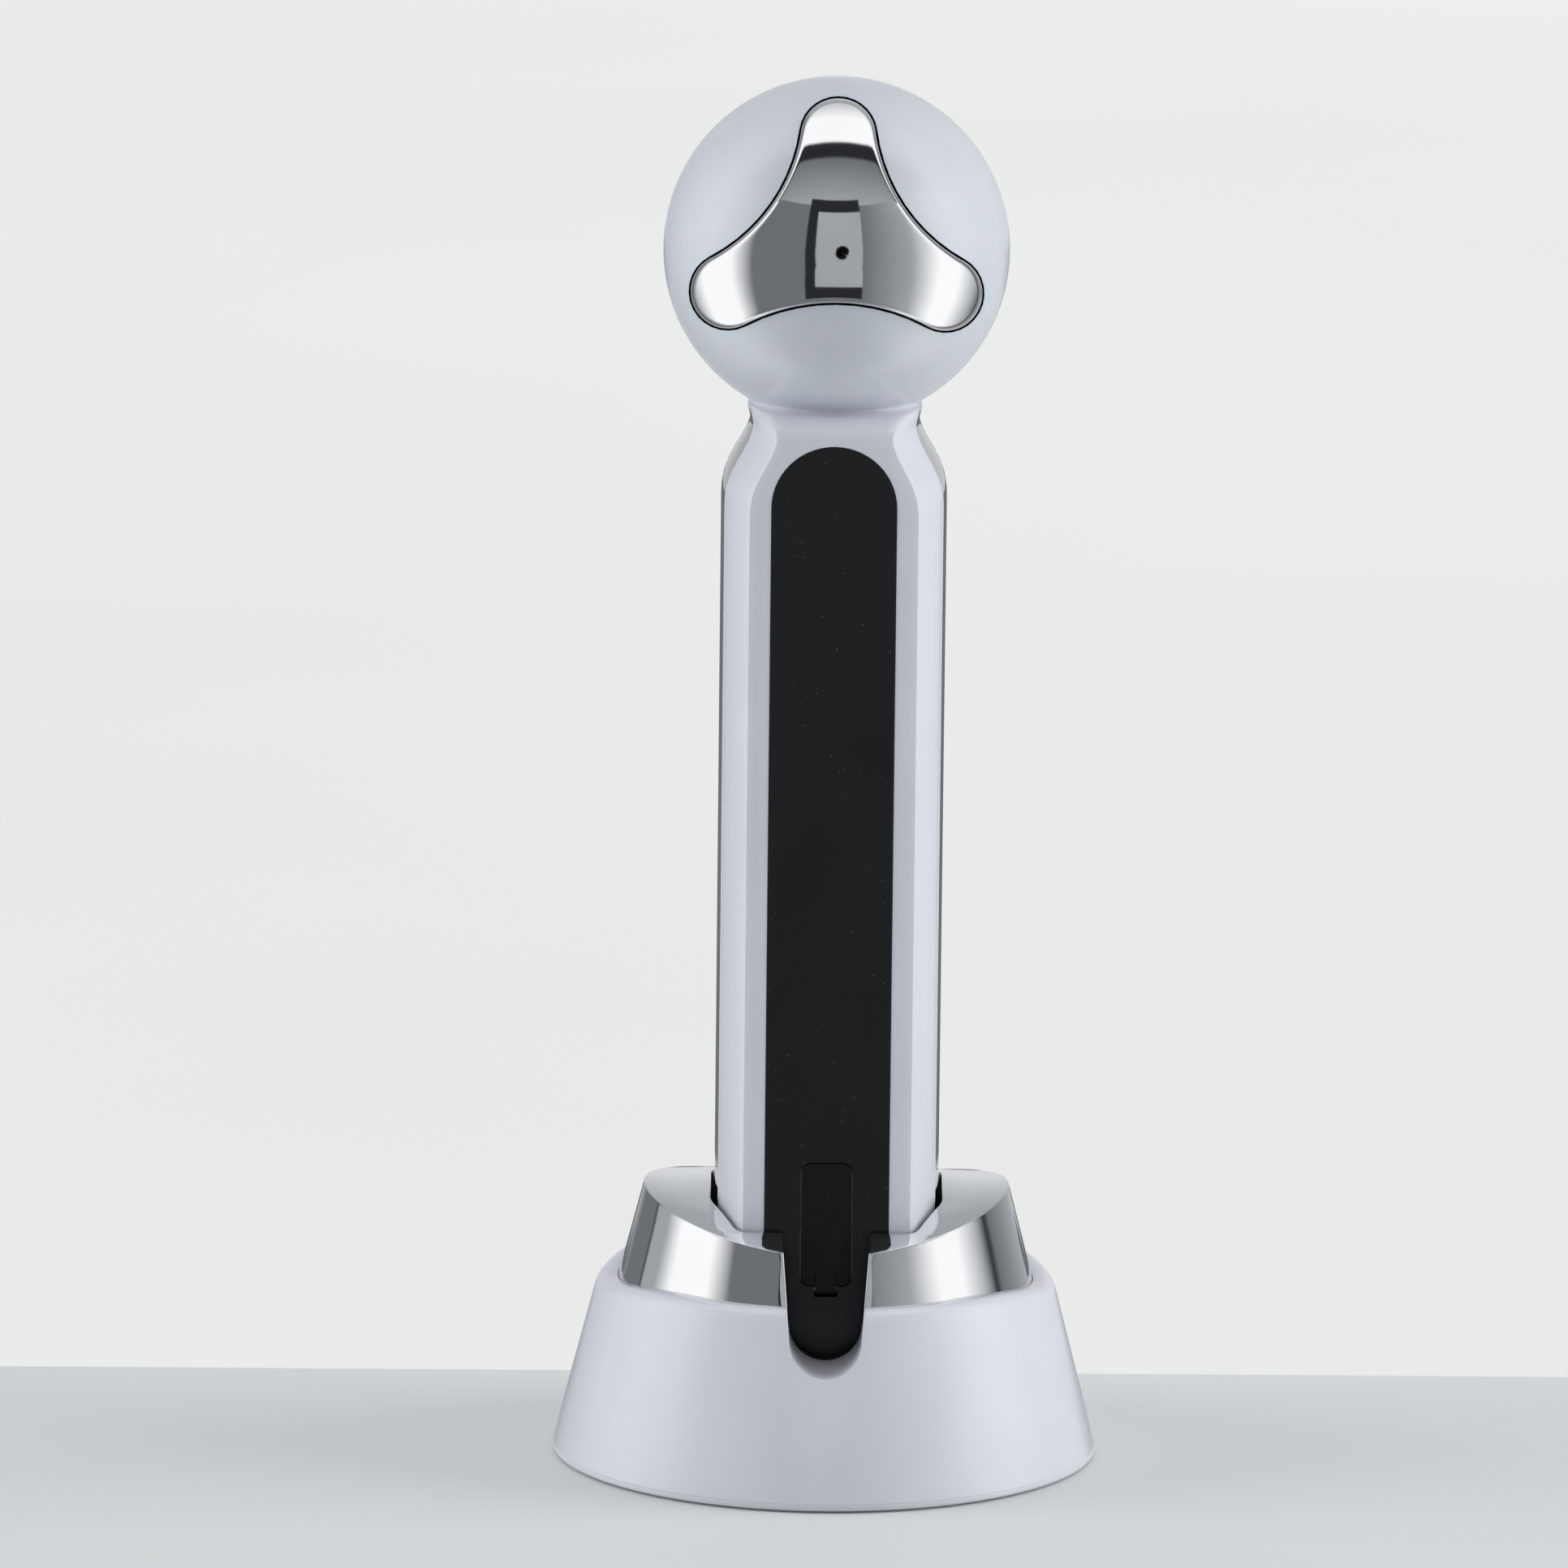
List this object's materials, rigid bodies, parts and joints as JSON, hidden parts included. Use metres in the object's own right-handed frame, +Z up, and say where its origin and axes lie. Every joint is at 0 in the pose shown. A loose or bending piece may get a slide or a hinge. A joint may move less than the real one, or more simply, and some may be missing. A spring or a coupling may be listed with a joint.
{
  "type": "facial toning device with charging stand",
  "caption": "Hand-held facial toning device with a milky ball head, lobed chrome face electrode and facetted white handle, standing upright in a white conical stand with a chrome collar",
  "frame": {"origin": "centre of the stand's foot on the table, under the axis that the handle stands on", "axes": "+X to the right seen from the front, +Y to the rear, away from the black strip, +Z up along the handle"},
  "size_m": [0.0794, 0.0794, 0.203],
  "materials": {
    "white_plastic": "gloss",
    "chrome_plating": "mirror",
    "dark_plastic": "matte",
    "grey_plastic": "satin",
    "cast_weight": "matte",
    "foot_rubber": "matte",
    "screw_steel": "satin",
    "black_gloss": "satin",
    "milky_plastic": "satin",
    "cover_rubber": "matte",
    "contact_brass": "satin",
    "board_laminate": "satin",
    "led_plastic": "satin",
    "clear_lens": "gloss",
    "cell_sleeve": "satin"
  },
  "bodies": {
    "stand": {"stand_shell": "white_plastic", "chrome_collar": "chrome_plating", "socket_cup": "dark_plastic", "base_plate": "grey_plastic", "ballast_weight": "cast_weight", "rubber_feet": "foot_rubber", "stand_screws": "screw_steel"},
    "device": {"front_housing": "white_plastic", "rear_housing": "white_plastic", "left_grip_electrode": "chrome_plating", "right_grip_electrode": "chrome_plating", "front_strip": "black_gloss", "front_globe_shell": "milky_plastic", "rear_globe_shell": "milky_plastic", "face_electrode": "chrome_plating", "electrode_gasket": "cover_rubber", "contact_pin": "contact_brass", "led_board": "board_laminate", "head_leds": "led_plastic", "control_board": "board_laminate", "board_components": "dark_plastic", "tact_switches": "screw_steel", "indicator_lenses": "clear_lens", "charge_board": "board_laminate", "usb_socket": "screw_steel", "battery_cell": "cell_sleeve", "battery_cradle": "dark_plastic", "housing_screws": "screw_steel"},
    "power_button": {"power_button": "chrome_plating"},
    "mode_button": {"mode_button": "white_plastic"},
    "port_cover": {"port_cover": "cover_rubber"}
  },
  "joints": [
    {"name": "device_lift", "type": "slide", "parent": "stand", "child": "device", "axis": [0, 0, 1], "range_m": [0, 0.06]},
    {"name": "power_press", "type": "slide", "parent": "device", "child": "power_button", "axis": [0, -1, 0], "range_m": [0, 0.0005], "stiffness_N_per_m": 400},
    {"name": "mode_press", "type": "slide", "parent": "device", "child": "mode_button", "axis": [0, -1, 0], "range_m": [0, 0.0005], "stiffness_N_per_m": 400},
    {"name": "port_cover_hinge", "type": "hinge", "parent": "device", "child": "port_cover", "pos_m": [0, -0.02, 0.0286], "axis": [1, 0, 0], "range_deg": [0, 100]}
  ]
}
